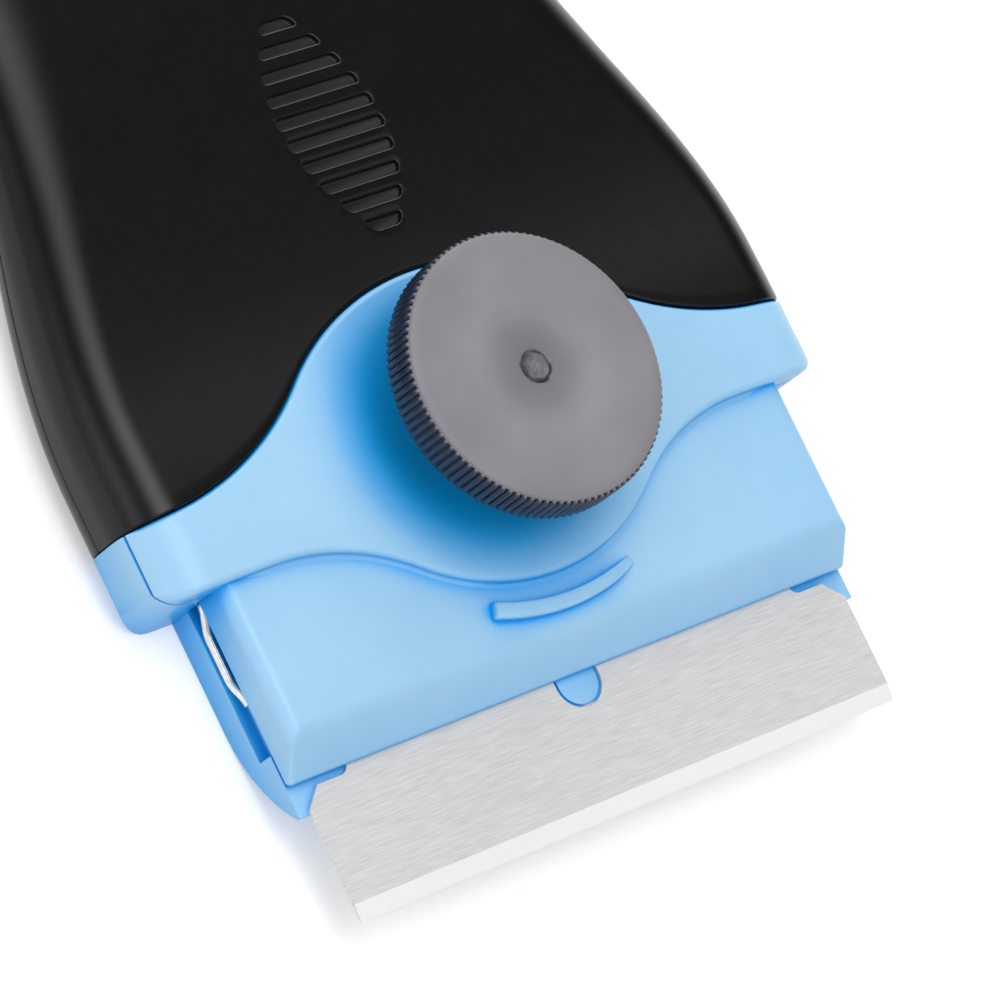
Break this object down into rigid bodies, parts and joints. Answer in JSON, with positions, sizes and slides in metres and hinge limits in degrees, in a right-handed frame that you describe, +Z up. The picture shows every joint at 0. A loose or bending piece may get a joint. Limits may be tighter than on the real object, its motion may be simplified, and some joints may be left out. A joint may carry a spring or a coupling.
{
  "type": "razor blade scraper",
  "caption": "Flat-handled razor blade scraper: a knurled knob on a screw closes a clamp plate onto a replaceable blade, and a wire spring lifts the plate when it is loosened.",
  "frame": {"origin": "under the middle of the tool's box, on the flat underside", "axes": "+Y from the cutting edge to the tail, +X across the blade, +Z up along the knob's axis"},
  "size_m": [0.0464, 0.1184, 0.0125],
  "materials": {
    "black_plastic": "polished black ABS",
    "blue_plastic": "satin sky-blue moulding",
    "grey_plastic": "moulded dark grey with a fine knurl",
    "blade_steel": "fine brushed, ground edge",
    "spring_steel": "bright drawn wire",
    "plated_steel": "zinc plated",
    "screw_steel": "blackened"
  },
  "bodies": {
    "handle": {"handle_top_shell": "black_plastic", "handle_bottom_shell": "black_plastic", "handle_screws": "screw_steel", "jaw_base": "blue_plastic", "captive_nut": "plated_steel", "lift_spring": "spring_steel"},
    "clamp": {"clamp_plate": "blue_plastic", "knob_washer": "plated_steel"},
    "knob": {"knob": "grey_plastic", "knob_stud": "plated_steel"},
    "blade": {"blade": "blade_steel"}
  },
  "joints": [
    {"name": "clamp_lift", "type": "slide", "parent": "handle", "child": "clamp", "axis": [0, 0, 1], "range_m": [0, 0.0014], "deforming": ["lift_spring"]},
    {"name": "knob_turn", "type": "hinge", "parent": "clamp", "child": "knob", "pos_m": [0, -0.0365, 0.01], "axis": [0, 0, 1], "range_deg": [0, 720]},
    {"name": "blade_slide", "type": "slide", "parent": "handle", "child": "blade", "axis": [0, -1, 0], "range_m": [0, 0.012]}
  ],
  "couplings": [
    {"joint": "knob_turn", "follows": "clamp_lift", "rad_per_m": 8975.9}
  ]
}
